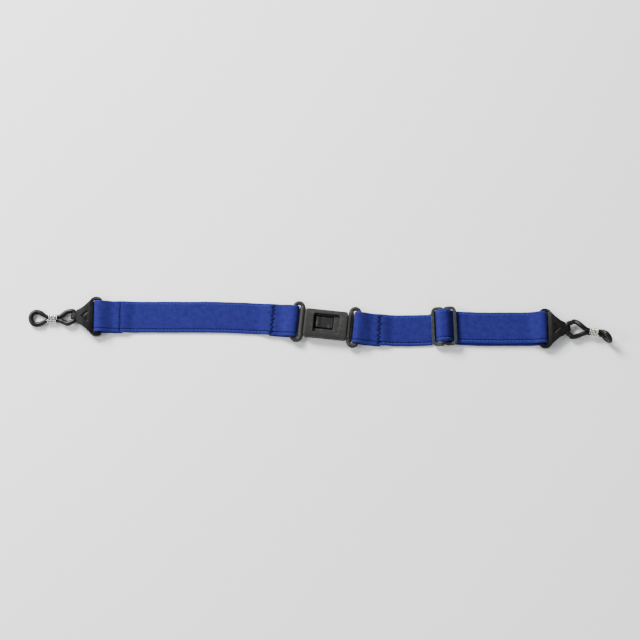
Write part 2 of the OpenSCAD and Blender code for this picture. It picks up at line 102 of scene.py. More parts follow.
class Recipe:
    """A material's node tree, with the few kinds of node that these finishes use."""

    def __init__(self, name, colour, roughness, **settings):
        self.material = bpy.data.materials.new(name)
        self.material.use_nodes = True
        self.tree = self.material.node_tree
        self.shader = self.tree.nodes["Principled BSDF"]
        self.set(self.shader, "Base Color", colour)
        self.set(self.shader, "Roughness", roughness)
        for socket, value in settings.items():
            self.set(self.shader, socket.replace("_", " "), value)

    def set(self, node, socket, value):
        slot = node.inputs[socket]
        if isinstance(value, bpy.types.NodeSocket):
            self.tree.links.new(value, slot)
        elif isinstance(value, tuple) and len(value) == 3 and slot.type == "RGBA":
            slot.default_value = (*value, 1)
        else:
            slot.default_value = value

    def node(self, kind, out=0, settings=(), **inputs):
        """A new node's output. An input named _0 or _1 is found by its number."""
        made = self.tree.nodes.new(kind)
        for key, value in dict(settings).items():
            setattr(made, key, value)
        for socket, value in inputs.items():
            name = int(socket[1:]) if socket[0] == "_" and socket[1:].isdigit() else socket
            self.set(made, name, value)
        return made.outputs[out]

    def place(self, own_map=False):
        """Where a point is: in metres, or on the piece's own map."""
        return self.node("ShaderNodeTexCoord", "UV" if own_map else "Object")

    def scaled(self, vector, scale):
        return self.node("ShaderNodeMapping", Vector=vector, Scale=scale)

    def noise(self, vector, scale, detail=3.0, rough=0.55):
        return self.node("ShaderNodeTexNoise", "Fac", Vector=vector, Scale=scale,
                         Detail=detail, Roughness=rough)

    def math(self, operation, a, b=0.0):
        return self.node("ShaderNodeMath", 0, {"operation": operation}, _0=a, _1=b)

    def ramp(self, value, low, high, start, end):
        """value from start to end becomes low to high."""
        return self.node("ShaderNodeMapRange", Value=value, **{
            "From Min": start, "From Max": end, "To Min": low, "To Max": high})

    def blend(self, factor, a, b):
        """Colour a where factor is 0, b where it is 1."""
        made = self.tree.nodes.new("ShaderNodeMix")
        made.data_type = "RGBA"
        self.set(made, 0, factor)
        self.set(made, 6, a)
        self.set(made, 7, b)
        return made.outputs[2]

    def bump(self, height, distance, strength, before=None):
        """A normal for height, laid over the normal before."""
        under = {} if before is None else {"Normal": before}
        return self.node("ShaderNodeBump", Height=height, Distance=distance, Strength=strength,
                         **under)


def moulded_plastic(name, colour, worn, roughness):
    """Black moulded plastic: fine spark grain, faint flow clouds, and rubbed paler spots."""
    r = Recipe(name, colour, roughness, Specular_IOR_Level=0.17)
    here = r.place()
    cloud = r.noise(here, 140.0, 4.0)
    grain = r.noise(here, 4200.0, 2.0)
    rubbed = r.ramp(r.noise(here, 420.0, 5.0, 0.7), 0.0, 1.0, 0.5, 0.78)
    darker = tuple(0.72 * c for c in colour)
    r.set(r.shader, "Base Color", r.blend(rubbed, r.blend(cloud, colour, darker), worn))
    r.set(r.shader, "Roughness", r.ramp(cloud, roughness - 0.07, roughness + 0.09, 0.3, 0.7))
    r.set(r.shader, "Normal", r.bump(grain, 0.00005, 0.35,
                                     r.bump(r.noise(here, 260.0, 2.0), 0.0002, 0.12)))
    return r.material


def woven_webbing():
    """Blue webbing: close picks across, warp ribs along, streaks and blotches of paler
    yarn, painted shade in the weave's hollows and in the sewn groove beside the hem, and
    paler rubbed edges. Its map is in millimetres: across, with the middle at MAP_MIDDLE,
    and along."""
    r = Recipe("woven_webbing", (0.013, 0.013, 0.12), 0.8, Sheen_Weight=0.06,
               Sheen_Roughness=0.5, Sheen_Tint=(0.4, 0.5, 1.0, 1.0), Specular_IOR_Level=0.08)
    here = r.place(own_map=True)
    parts = r.tree.nodes.new("ShaderNodeSeparateXYZ")
    r.set(parts, 0, here)
    across, along = parts.outputs[0], parts.outputs[1]
    wander = r.noise(r.scaled(here, (0.5, 0.12, 1.0)), 1.0, 2.0)
    rib = r.math("SINE", r.math("MULTIPLY", r.math("ADD", across, wander),
                                2 * math.pi / RIB_PITCH))
    pick = r.math("SINE", r.math("MULTIPLY", along, 2 * math.pi / PICK_PITCH))
    weave = r.math("MULTIPLY", rib, pick)
    yarn = r.noise(r.scaled(here, (1.7, 0.16, 1.0)), 1.0, 4.0, 0.65)
    blotch = r.noise(here, 0.45, 5.0, 0.7)
    fuzz = r.noise(here, 3.1, 4.0, 0.7)
    base = r.blend(r.ramp(blotch, 0.0, 1.0, 0.36, 0.64), (0.0095, 0.0088, 0.086),
                   (0.0145, 0.015, 0.14))
    # The weave's low points are darkened: painted shade in the hollows between the yarns.
    weave_hollows_shaded = r.blend(r.ramp(weave, 0.0, 0.5, 0.1, -1.0), base, (0.006, 0.0057, 0.055))
    streaked = r.blend(r.ramp(yarn, 0.0, 0.4, 0.5, 0.75), weave_hollows_shaded, (0.025, 0.032, 0.22))
    off_middle = r.math("ABSOLUTE", r.math("SUBTRACT", across, MAP_MIDDLE))
    rubbed = r.blend(r.ramp(off_middle, 0.0, 0.22, 6.9, 7.8), streaked, (0.038, 0.05, 0.28))
    # The sewn groove is darkened towards navy: painted shade in the groove.
    off_groove = r.math("ABSOLUTE", r.math("SUBTRACT", across, MAP_MIDDLE - 6.25))
    r.set(r.shader, "Base Color", r.blend(r.ramp(off_groove, 0.7, 0.0, 0.12, 0.5), rubbed,
                                          (0.004, 0.005, 0.04)))
    r.set(r.shader, "Normal", r.bump(weave, 0.00012, 0.6, r.bump(
        r.math("ADD", fuzz, blotch), 0.0003, 0.4)))
    return r.material


def sewing_thread(name, colour):
    """Twisted thread, a little paler on its crowns, where its bumps rise: a painted highlight."""
    r = Recipe(name, colour, 0.75, Specular_IOR_Level=0.08)
    here = r.place()
    lay = r.noise(here, 2600.0, 2.0)
    # The noise that raises the bumps also pales the colour, so the crowns carry a painted
    # highlight.
    r.set(r.shader, "Base Color", r.blend(lay, colour, tuple(1.7 * c for c in colour)))
    r.set(r.shader, "Normal", r.bump(lay, 0.00008, 0.5))
    return r.material


def glossy_rubber():
    """Black extruded rubber: smooth skin, faint long waves and dull dusty patches."""
    r = Recipe("glossy_rubber", (0.006, 0.006, 0.0065), 0.4, Specular_IOR_Level=0.2)
    here = r.place()
    dust = r.ramp(r.noise(here, 330.0, 4.0, 0.65), 0.0, 1.0, 0.5, 0.85)
    r.set(r.shader, "Base Color", r.blend(dust, (0.005, 0.005, 0.0055), (0.017, 0.017, 0.018)))
    r.set(r.shader, "Roughness", r.ramp(dust, 0.36, 0.52, 0.0, 1.0))
    r.set(r.shader, "Normal", r.bump(r.noise(here, 900.0, 3.0), 0.00006, 0.25))
    return r.material


def bright_wire():
    """Plated wire with fine drawing marks and darker, duller patches."""
    r = Recipe("bright_wire", (0.9, 0.86, 0.76), 0.2, Metallic=1.0)
    here = r.place()
    drawn = r.noise(here, 3000.0, 3.0)
    dull = r.noise(here, 500.0, 3.0)
    r.set(r.shader, "Base Color", r.blend(dull, (0.97, 0.94, 0.87), (0.6, 0.56, 0.48)))
    r.set(r.shader, "Roughness", r.ramp(dull, 0.14, 0.34, 0.3, 0.7))
    r.set(r.shader, "Normal", r.bump(drawn, 0.00003, 0.3))
    return r.material


def pale_floor():
    """Plain white paper with the faintest mottle."""
    r = Recipe("pale_floor", (0.93, 0.93, 0.93), 0.9, Specular_IOR_Level=0.1)
    mottle = r.noise(r.place(), 6.0, 2.0)
    r.set(r.shader, "Base Color", r.blend(mottle, (0.93, 0.93, 0.935), (0.9, 0.9, 0.9)))
    return r.material


BUCKLE_PLASTIC = moulded_plastic(
    "buckle_plastic", (0.0215, 0.0215, 0.0204), (0.045, 0.045, 0.042), 0.5)
CONNECTOR_PLASTIC = moulded_plastic(
    "connector_plastic", (0.0045, 0.0045, 0.0043), (0.014, 0.014, 0.013), 0.45)
TONGUE_PLASTIC = moulded_plastic(
    "tongue_plastic", (0.0155, 0.0155, 0.0155), (0.06, 0.06, 0.057), 0.4)
SLIDER_PLASTIC = moulded_plastic(
    "slider_plastic", (0.022, 0.026, 0.026), (0.055, 0.062, 0.06), 0.36)
WEBBING = woven_webbing()
THREAD = sewing_thread("navy_thread", (0.0015, 0.0018, 0.011))
PALE_THREAD = sewing_thread("pale_thread", (0.022, 0.03, 0.19))
RUBBER = glossy_rubber()
WIRE = bright_wire()


# ---------- Making meshes ----------

def smooth(a, b, x):
    """0 at a, 1 at b, with an even S between: 3s^2 - 2s^3."""
    s = np.clip((np.asarray(x, float) - a) / (b - a), 0, 1)
    return s * s * (3 - 2 * s)


def finish_piece(piece, material, slot, nodes, ride=None, blend=None):
    """Gives a new piece its material and smooth faces, hides the nodes it stands for, and
    sets it on its body, or else bakes its place into its mesh. slot and blend are not used."""
    piece.data.materials.clear()
    piece.data.materials.append(material)
    piece.data.polygons.foreach_set("use_smooth", np.ones(len(piece.data.polygons), bool))
    bpy.context.collection.objects.link(piece)
    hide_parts(*nodes)
    if ride:
        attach(piece, ride)
    else:
        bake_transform(piece)


def surface(name, points, ring=False, maps=None):
    """A grid of points, closed round its second direction. It is closed along the first
    too when ring is set, or else capped at both ends. maps holds each point's own
    (across, along) in millimetres."""
    n, k = points.shape[:2]
    rows = n if ring else n - 1
    i, j = np.meshgrid(np.arange(rows), np.arange(k), indexing="ij")
    up, over = (i + 1) % n, (j + 1) % k
    quads = np.stack([i * k + j, up * k + j, up * k + over, i * k + over], -1).reshape(-1, 4)
    a, b, c, d = (points.reshape(-1, 3)[quads[:, m]] for m in range(4))
    volume = np.einsum("ij,ij->", a, np.cross(b, c)) + np.einsum("ij,ij->", a, np.cross(c, d))
    caps = [] if ring else [np.arange(k), (n - 1) * k + np.arange(k)[::-1]]
    if volume < 0:
        quads, caps = quads[:, ::-1], [cap[::-1] for cap in caps]
    mesh = bpy.data.meshes.new(name)
    mesh.from_pydata(points.reshape(-1, 3) * MM, [], quads.tolist() + [c.tolist() for c in caps])
    if maps is not None:
        corners = np.empty(len(mesh.loops), np.int32)
        mesh.loops.foreach_get("vertex_index", corners)
        mesh.uv_layers.new(name="cloth").uv.foreach_set(
            "vector", maps.reshape(-1, 2)[corners].astype(np.float32).ravel())
    mesh.update()
    return bpy.data.objects.new(name, mesh)


def unit(v):
    return v / np.linalg.norm(v, axis=-1, keepdims=True)


def round_skin(lines, forward, across, radius, sides):
    """Circles round the points of lines: centre + radius * (side * cos + up * sin), where
    side is square to forward and across."""
    side = unit(np.cross(forward, across))
    up = np.cross(side, forward)
    turn = np.arange(sides) * 2 * np.pi / sides
    r = np.asarray(radius, float)[..., None, None]
    return lines[..., None, :] + r * (side[..., None, :] * np.cos(turn)[:, None]
                                      + up[..., None, :] * np.sin(turn)[:, None])


def tubes(name, lines, radius, sides=6):
    """Round threads, one along each row of lines (count, points, 3), as one mesh with
    both ends of each thread closed."""
    count, n = lines.shape[:2]
    points = round_skin(lines, unit(np.gradient(lines, axis=1)), [0.05, 0.02, 1.0], radius, sides)
    i, j = np.meshgrid(np.arange(n - 1), np.arange(sides), indexing="ij")
    over = (j + 1) % sides
    quads = np.stack([i * sides + j, i * sides + over, (i + 1) * sides + over,
                      (i + 1) * sides + j], -1).reshape(-1, 4)
    shift = (np.arange(count) * n * sides)[:, None, None]
    faces = (quads[None] + shift).reshape(-1, 4).tolist()
    first = (np.arange(sides)[::-1][None] + shift[:, 0]).tolist()
    last = (np.arange(sides)[None] + (n - 1) * sides + shift[:, 0]).tolist()
    mesh = bpy.data.meshes.new(name)
    mesh.from_pydata(points.reshape(-1, 3) * MM, [], faces + first + last)
    mesh.update()
    return bpy.data.objects.new(name, mesh)


# ---------- Where things lie, as in the part ----------

THICK = 1.3                         # of the webbing
FOLD_R, BAR_Z = 1.9, 2.55           # a fold's middle round its bar, and the bar's height
ONE_PLY, TWO_PLY = 0.65, 2.0        # the middle of a ply on the table, and on another ply
FOLD_TOP = BAR_Z + FOLD_R
SLOPE_END = 7.6                     # where the ply from a fold comes to lie on its tail
TAIL, STITCH_AT = 11.6, 10.6        # from the bar
TAIL_ASIDE = 0.35                   # how far a tail lies aside of its upper ply
BUCKLE = (3.01, -1.11, -6.0)
LEFT_START, LEFT_ARCS, LEFT_LENGTH = (-13.4, 0.615, 174.0), [(47, 6), (51.2, 0)], 98.2
RIGHT_START, RIGHT_ARCS, RIGHT_LENGTH = (19.171, -2.809, -6.0), [(26, 7), (12, 2)], 35.2
SLIDER, SLIDER_BAR_Z, SLIDER_BAR_R = (62.51, -2.11, 2.0), 3.0, 1.6
SOCKET_BAR, PLUG_BAR = -12.3, 12.05  # the near bars of the buckle's rings, from its middle
RUN_START, RUN_ARCS, RUN_LENGTH = (62.51, -1.91, -4.0), [(26, 4), (23.6, 1)], 49.6
LEFT_CONNECTOR = (-111.514, 3.073, 180.0)
RIGHT_CONNECTOR = (112.088, -3.111, 0.0)
REACH, BORE_Z = 12.1, 2.35           # from a connector's bar to its bore


def course(start, arcs, d):
    """Place and heading at distances d: the heading turns evenly in each arc, and the
    place is the running sum of its direction."""
    s = np.linspace(-8, 60 + sum(a[0] for a in arcs), 8001)
    h = np.radians(np.interp(s, np.cumsum([0] + [a[0] for a in arcs]),
                             start[2] + np.cumsum([0] + [a[1] for a in arcs])))
    step = s[1] - s[0]
    x, y = (np.concatenate([[0], np.cumsum((f[1:] + f[:-1]) / 2) * step])
            for f in (np.cos(h), np.sin(h)))
    x, y = (start[m] + c - np.interp(0, s, c) for m, c in enumerate((x, y)))
    return np.interp(d, s, x), np.interp(d, s, y), np.interp(d, s, h)


def half_turn(d, z, r, way):
    """A fold's path round a bar at (d, z), from below to above, bulging to the side way."""
    a = np.linspace(0, np.pi, 25)
    return np.stack([d + way * r * np.sin(a), z - r * np.cos(a)], -1)


def fold_slope(d):
    """The upper ply comes down from the top of its fold onto the ply below."""
    return FOLD_TOP - (FOLD_TOP - TWO_PLY) * smooth(0, SLOPE_END, d)


def upper_height(d):
    """The upper ply comes down onto the tail, and past the tail to the table."""
    return fold_slope(d) - (TWO_PLY - ONE_PLY) * smooth(12, 18, d)


def level(d, z):
    """The path through (d, z), where z is one height or a row of them."""
    return np.stack([d, np.broadcast_to(z, d.shape)], -1)


class Lay:
    """How one webbing lies: for each distance s along it, its middle, the way across it
    and the way out of its outer face."""

    def __init__(self, plan, path):
        d, z = path.T
        x, y, h = plan(d)
        self.d = d
        self.middle = np.stack([x, y, z], -1)
        self.across = np.stack([-np.sin(h), np.cos(h), 0 * h], -1)
        slope = unit(np.stack([np.gradient(d), np.gradient(z)], -1))
        self.out = np.stack([-slope[:, 1] * np.cos(h), -slope[:, 1] * np.sin(h), slope[:, 0]], -1)
        step = np.hypot(np.diff(d), np.diff(z))
        self.s = np.concatenate([[0], np.cumsum(step)])
        self.length = self.s[-1]

    def at(self, s, a, lift):
        """Points at distance s along, a across and lift out from the middle."""
        m, c, o = (np.stack([np.interp(s, self.s, f[:, k]) for k in range(3)], -1)
                   for f in (self.middle, self.across, self.out))
        return m + c * np.asarray(a)[..., None] + o * np.asarray(lift)[..., None]

    def s_of(self, d):
        """Distance along where the ply that faces up passes d."""
        up = self.out[:, 2] > 0.3
        order = np.argsort(self.d[up])
        return np.interp(d, self.d[up][order], self.s[up][order])


def section(hem):
    """The webbing's section as (across, out) points, once round. Its outer face has a
    rolled hem on the side that hem points to, parted by a sewn groove, and a fine seam
    near the other edge; both edges are round."""
    flat, groove, seam_line = 7.42, -6.35, 6.75
    a = np.unique(np.concatenate([
        np.linspace(-flat, flat, 27), groove + np.linspace(-0.66, 0.66, 9),
        seam_line + np.linspace(-0.5, 0.5, 7)]).round(3))
    top = (THICK / 2 - 0.25 * np.exp(-((a - groove) / 0.24) ** 2)
           - 0.09 * np.exp(-((a - seam_line) / 0.2) ** 2) - 0.05 * smooth(6.9, 7.4, a))
    arc = np.linspace(0, np.pi, 9)[1:-1]
    edge = np.stack([flat + 0.58 * np.sin(arc), 0.62 * np.cos(arc)], -1)
    under = level(np.linspace(flat, -flat, 13), -THICK / 2)
    loop = np.concatenate([np.stack([a, top], -1), edge, under, edge[::-1] * [-1, 1]])
    loop[:, 0] *= hem
    return loop


def weave_webbing(name, lay, hem, dents):
    """A webbing carried along its lay. The cloth sinks by 0.8 * 0.03 * (1 + sin * sin) in
    long waves, and dents = [(s, width, depth), ...] press the outer face in by
    depth * exp(-(off / width)^2) where a row of stitches crosses it."""
    loop = section(hem)
    a, out = loop[None, :, 0], loop[None, :, 1]
    s = lay.s[:, None]
    sag = 0.03 * (1 + np.sin(0.41 * s + 0.5 * a) * np.sin(0.17 * s - 0.31 * a + 1))
    press = sum(depth * np.exp(-((s - at - 0.12 * np.sin(1.9 * a)) / width) ** 2)
                for at, width, depth in dents) if dents else 0
    lift = out - np.where(out > 0.3, press, 0) - np.where(out > 0.3, sag * 0.8, -0.02)
    wide = a * (1 + 0.004 * np.sin(0.33 * s) + 0.003 * np.sin(0.9 * s + 1))
    points = lay.at(np.broadcast_to(s, lift.shape), np.broadcast_to(wide, lift.shape), lift)
    maps = np.stack([np.broadcast_to(hem * a, lift.shape) + MAP_MIDDLE,
                     np.broadcast_to(s, lift.shape)], -1)
    return surface(name, points, maps=maps)


def even(path, step=0.45):
    """The same path with points an even step apart."""
    s = np.concatenate([[0], np.cumsum(np.hypot(*np.diff(path, axis=0).T))])
    new = np.linspace(0, s[-1], int(s[-1] / step) + 1)
    return np.stack([np.interp(new, s, path[:, 0]), np.interp(new, s, path[:, 1])], -1)


def rounded(path):
    """The path with its corners eased by averaging neighbours twice; the ends stay."""
    for _ in range(2):
        path[1:-1] = path[:-2] / 4 + path[1:-1] / 2 + path[2:] / 4
    return path


# ---------- The left webbing ----------

down = np.arange(0.4, 19, 0.4)
left_path = rounded(even(np.concatenate([
    level(np.linspace(TAIL, 0.3, 30), ONE_PLY),
    half_turn(0, BAR_Z, FOLD_R, -1),
    level(down, upper_height(down)),
    level(np.linspace(20, LEFT_LENGTH - 20, 60), ONE_PLY),
    level(LEFT_LENGTH - down[::-1], upper_height(down[::-1])),
    half_turn(LEFT_LENGTH, BAR_Z, FOLD_R, 1)[::-1],
    level(LEFT_LENGTH - np.linspace(0.3, TAIL, 30), ONE_PLY)])))
left_lay = Lay(lambda d: course(LEFT_START, LEFT_ARCS, d), left_path)
tails = (smooth(14, 4, left_lay.s)
         + smooth(left_lay.length - 13, left_lay.length - 3, left_lay.s)) * TAIL_ASIDE
left_lay.middle += left_lay.across * tails[:, None]
left_rows = left_lay.s_of(np.array([STITCH_AT, LEFT_LENGTH - STITCH_AT]))
left_webbing = weave_webbing("left_webbing_cloth", left_lay, -1, [
    (left_rows[0], 0.55, 0.2), (left_rows[1], 0.4, 0.24)])
finish_piece(left_webbing, WEBBING, "webbing", ["left_webbing"], ride="left_strap")


# ---------- The right webbing: two cloths that meet under the slider's far bar ----------

OVER_Z = SLIDER_BAR_Z + SLIDER_BAR_R + THICK + 0.05     # of the ply over the centre bar
CUT = 5.75                          # where the two cloths meet, from the centre bar


def over_height(d):
    """Under the near bar, up over the centre bar and the sewn end, and down under the
    far bar; d is from the centre bar."""
    return np.where(
        d < 0,
        ONE_PLY + 0.08 * smooth(-7.6, -5.7, d)
        + (OVER_Z - ONE_PLY - 0.08) * smooth(-4.6, -1.45, d),
        OVER_Z - (OVER_Z - TWO_PLY - 0.1) * smooth(0.6, 4.9, d) - 0.1 * smooth(5.7, 8.6, d))


def run_plan(d):
    """The doubled part's line; near the slider its cloth turns to lie square to the bar."""
    x, y, h = course(RUN_START, RUN_ARCS, d)
    return x, y, h + math.radians(6) * smooth(8, 1, d)


near_x = course(RIGHT_START, RIGHT_ARCS, np.array([RIGHT_LENGTH]))[0]
bar_d = RIGHT_LENGTH + (SLIDER[0] - near_x[0]) / math.cos(math.radians(SLIDER[2]))


def right_plan(d):
    """The right webbing's line: over its last stretch it moves aside under the slider's
    near bar onto the slider's line, and under the far bar onto the doubled part's."""
    x, y, h = course(RIGHT_START, RIGHT_ARCS, d)
    e = d - bar_d
    line = math.radians(SLIDER[2])
    sx = SLIDER[0] + e * math.cos(line) - 0.3 * math.sin(line)
    sy = SLIDER[1] + e * math.sin(line) + 0.3 * math.cos(line)
    rx, ry, rh = run_plan(e)
    a, b = smooth(-7.2, -4.7, e), smooth(3.6, CUT, e)
    return (x + (sx - x) * a + (rx - sx) * b, y + (sy - y) * a + (ry - sy) * b,
            h + (line - h) * a + (rh - line) * b)


over = np.arange(-7.6, CUT + 0.01, 0.3)
right_path = rounded(even(np.concatenate([
    level(np.linspace(TAIL, 0.3, 30), ONE_PLY),
    half_turn(0, BAR_Z, FOLD_R, -1),
    level(down, upper_height(down)),
    level(np.linspace(19.5, RIGHT_LENGTH, 20), ONE_PLY),
    level(bar_d + over, over_height(over))])))
right_lay = Lay(right_plan, right_path)
right_lay.middle -= right_lay.across * (TAIL_ASIDE * smooth(14, 4, right_lay.s))[:, None]
right_row = right_lay.s_of(np.array([STITCH_AT]))[0]
right_webbing = weave_webbing("right_webbing_cloth", right_lay, 1, [(right_row, 0.55, 0.2)])
NEAR_BLEND = ("right_strap", "slider", (0.0325, 0, 0), (0.0548, 0, 0))
finish_piece(right_webbing, WEBBING, "webbing", ["right_webbing", "webbing_over_bar"],
             blend=NEAR_BLEND)

# The doubled cloth: along the top, round the connector's bar, back underneath, and
# round the slider's centre bar into its sewn tail, which lies under the ply over the bar
end_up = np.linspace(SLOPE_END, 0.3, 24)
top_run = np.linspace(CUT, RUN_LENGTH - 7.8, 50)
back = np.linspace(8.6, 0.5, 22)
tail_d = np.arange(0.5, 2.5, 0.3)
tail_slope = unit(np.stack([np.full(tail_d.shape, 0.1),
                            over_height(tail_d + 0.05) - over_height(tail_d - 0.05)], -1))
tail_points = level(tail_d, over_height(tail_d)) - (THICK + 0.05) * np.stack(
    [-tail_slope[:, 1], tail_slope[:, 0]], -1)
double_path = rounded(even(np.concatenate([
    level(top_run, TWO_PLY + 0.1 * (1 - smooth(CUT, 8.6, top_run))),
    level(RUN_LENGTH - end_up, fold_slope(end_up)),
    half_turn(RUN_LENGTH, BAR_Z, FOLD_R, 1)[::-1],
    level(RUN_LENGTH - np.linspace(0.4, 40.8, 60), ONE_PLY),
    level(back, ONE_PLY + (SLIDER_BAR_Z - SLIDER_BAR_R - ONE_PLY) * smooth(6, 0.5, back)),
    half_turn(0, SLIDER_BAR_Z, SLIDER_BAR_R, -1),
    tail_points])))
double_lay = Lay(run_plan, double_path)
turn_s = double_lay.s[np.argmax(double_lay.d)]
aside = (-1.0 * smooth(turn_s - 3, turn_s + 3, double_lay.s)
         + 0.8 * smooth(0, 1, (double_lay.s > turn_s) * (9 - double_lay.d) / 8))
double_lay.middle += double_lay.across * aside[:, None]
doubled_webbing = weave_webbing("doubled_webbing_cloth", double_lay, 1, [])
FAR_BLEND = ("slider", "end_fold", (0.0706, 0, 0), (0.1044, 0, 0))
finish_piece(doubled_webbing, WEBBING, "webbing",
             ["upper_run", "lower_run", "webbing_end_fold", "webbing_sewn_end"], blend=FAR_BLEND)


# ---------- Stitches ----------

THREAD_R = 0.23
ROW_LIFT, SEAM_LIFT, FINE_LIFT = 0.6, 0.62, 0.52    # of a thread's crown over the middle
HEM_SEAM, EDGE_SEAM = 6.85, 6.75                    # from the webbing's middle


def sew(name, lay, stitches, node, material, lift, **body):
    """Threads from start to end, each a row of (s, a). Each arches over the cloth, and
    both its ends go down into it: lift - 0.42 * t^6 for t from -1 to 1."""
    t = np.linspace(-1, 1, 9)[None]
    start, end = stitches
    s, a = (start[:, k, None] * (1 - t) / 2 + end[:, k, None] * (1 + t) / 2 for k in (0, 1))
    lines = lay.at(s, a, np.broadcast_to(lift - 0.42 * t ** 6, s.shape))
    finish_piece(tubes(name, lines, THREAD_R), material, "thread", [node], **body)


def seam(first, last, a, pitch=1.9, length=1.35):
    """Stitches end to end along the cloth, each a hair off the line."""
    s = np.arange(first, last - length, pitch)
    off = a + 0.05 * np.sin(2.7 * s)
    return np.stack([s, off], -1), np.stack([s + length, off + 0.03 * np.cos(s)], -1)


def row_across(s, count, pitch, length):
    """Straight stitches end to end across the cloth."""
    a = (np.arange(count) - (count - 1) / 2) * pitch
    drift = s + 0.12 * np.sin(3.1 * a)
    return (np.stack([drift, a - length / 2], -1),
            np.stack([drift + 0.06 * np.cos(5 * a), a + length / 2], -1))


def zigzag(s, count, pitch, reach):
    """Slanting stitches turn and turn about across the cloth, with uneven ends."""
    i = np.arange(count)
    a = (i - (count - 1) / 2) * pitch
    way = np.where(i % 2 == 0, 1, -1) * reach * (1 + 0.25 * np.sin(2.3 * i))
    off = 0.2 * np.sin(1.7 * i)
    return (np.stack([s + off - way, a - pitch * 0.52], -1),
            np.stack([s + off + way, a + pitch * 0.52], -1))


def sew_edges(web, node, lay, first, last, hem, **body):
    """The seam in the hem, and the fine seam along the other edge."""
    sew(web + "_hem_seam", lay, seam(first, last, hem * HEM_SEAM), node + "_hem_thread",
        PALE_THREAD, SEAM_LIFT, **body)
    sew(web + "_edge_seam", lay, seam(first, last, -hem * EDGE_SEAM, 1.7, 1.1),
        node + "_edge_thread", PALE_THREAD, FINE_LIFT, **body)


sew("left_connector_row", left_lay, row_across(left_rows[1], 9, 1.65, 1.2),
    "left_end_stitches", THREAD, ROW_LIFT, ride="left_strap")
sew("left_buckle_row", left_lay, zigzag(left_rows[0], 13, 1.12, 0.85),
    "left_buckle_stitches", THREAD, SEAM_LIFT, ride="left_strap")
sew_edges("left", "left", left_lay, left_rows[0] + 2, left_rows[1] - 2, 1, ride="left_strap")
sew("right_buckle_row", right_lay, zigzag(right_row, 13, 1.12, 1.0),
    "right_buckle_stitches", THREAD, SEAM_LIFT, blend=NEAR_BLEND)
sew_edges("right", "right", right_lay, right_row + 2, right_lay.length - 1.5, -1,
          blend=NEAR_BLEND)
sew_edges("doubled", "run", double_lay, 1.6, turn_s - 10, -1, blend=FAR_BLEND)


# ---------- Moulded plastic ----------

def moulded(name, node, body, material, slot, voxel, rounds, crown=None):
    """The part's solid with its edges rounded off as a mould leaves them: it is cut into
    small cubes of side voxel, and its skin is averaged rounds times. crown then moves
    points by its own rule."""
    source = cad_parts[node]
    copy = bpy.data.objects.new(name + "_cut", source.data.copy())
    bpy.context.collection.objects.link(copy)
    weld = copy.modifiers.new("weld", "WELD")
    weld.merge_threshold = 1e-6
    cut = copy.modifiers.new("cut", "REMESH")
    cut.mode, cut.voxel_size = "VOXEL", voxel * MM
    ease = copy.modifiers.new("ease", "SMOOTH")
    ease.factor, ease.iterations = 0.5, rounds
    view = bpy.context.evaluated_depsgraph_get()
    mesh = bpy.data.meshes.new_from_object(copy.evaluated_get(view))
    bpy.data.objects.remove(copy)
    mesh.name = name
    if crown:
        co = np.empty(len(mesh.vertices) * 3, np.float32)
        mesh.vertices.foreach_get("co", co)
        co = crown(co.reshape(-1, 3).astype(float) / MM) * MM
        mesh.vertices.foreach_set("co", co.astype(np.float32).ravel())
        mesh.update()
    finish_piece(bpy.data.objects.new(name, mesh), material, slot, [node], ride=body)


def ahead(pose):
    """The way a pose faces."""
    return np.array([math.cos(math.radians(pose[2])), math.sin(math.radians(pose[2]))])


def local(points, pose):
    """Points as seen from a pose: x ahead of it, y to its left."""
    c, s = ahead(pose)
    dx, dy = points[:, 0] - pose[0], points[:, 1] - pose[1]
    return dx * c + dy * s, dy * c - dx * s


def crown_connector(pose):
    def crown(p):
        """The top falls away by 0.9 |y / 10.2|^2.6 towards the shoulders, and towards the
        tip and the rear edge, and the underside rises a third as much. The rear edge also
        comes 0.16 nearer to the fold, so its black plastic fills part of the gap to the fold
        and stands in for the shade there."""
        x, y = local(p, pose)
        fall = (0.9 * np.abs(y / 10.2) ** 2.6 + 0.45 * smooth(7, 11.5, x)
                + 0.35 * smooth(4.6, 2.6, x))
        share = np.clip((p[:, 2] - BORE_Z) / 2, -1, 1)
        body = smooth(2.3, 3.0, x) + smooth(8.5, 8.8, np.abs(y)) * (x < 2.6)
        p[:, 2] -= np.clip(body, 0, 1) * fall * np.where(share > 0, share, share / 3)
        # The rear edge moves towards the fold: black plastic that stands in for the shade in the
        # gap.
        edge = 0.16 * smooth(3.7, 3.0, x) * (x > 2.3) * smooth(8.6, 8.0, np.abs(y))
        p[:, :2] -= edge[:, None] * ahead(pose)
        return p
    return crown


def fatten_bar(p, x, y, bar):
    """The ring's near bar is made fatter by 0.3 on the side towards the fold: black plastic put
    into the gap to the fold, standing in for the shade there.
    """
    way = np.sign(bar)
    off = way * (x - bar)
    push = 0.3 * smooth(0.2, 1.2, off) * (off < 1.8) * smooth(8.2, 6.4, np.abs(y)) * way
    p[:, :2] += push[:, None] * ahead(BUCKLE)
    return p


def crown_socket(p):
    """The body's top falls away by 0.55 |y / 7.15|^4 towards its long edges."""
    x, y = local(p, BUCKLE)
    share = smooth(3.0, 5.0, p[:, 2]) * smooth(10.9, 10.3, np.abs(x))
    p[:, 2] -= 0.55 * np.abs(y / 7.15) ** 4 * share
    return fatten_bar(p, x, y, SOCKET_BAR)


def crown_plug(p):
    return fatten_bar(p, *local(p, BUCKLE), PLUG_BAR)


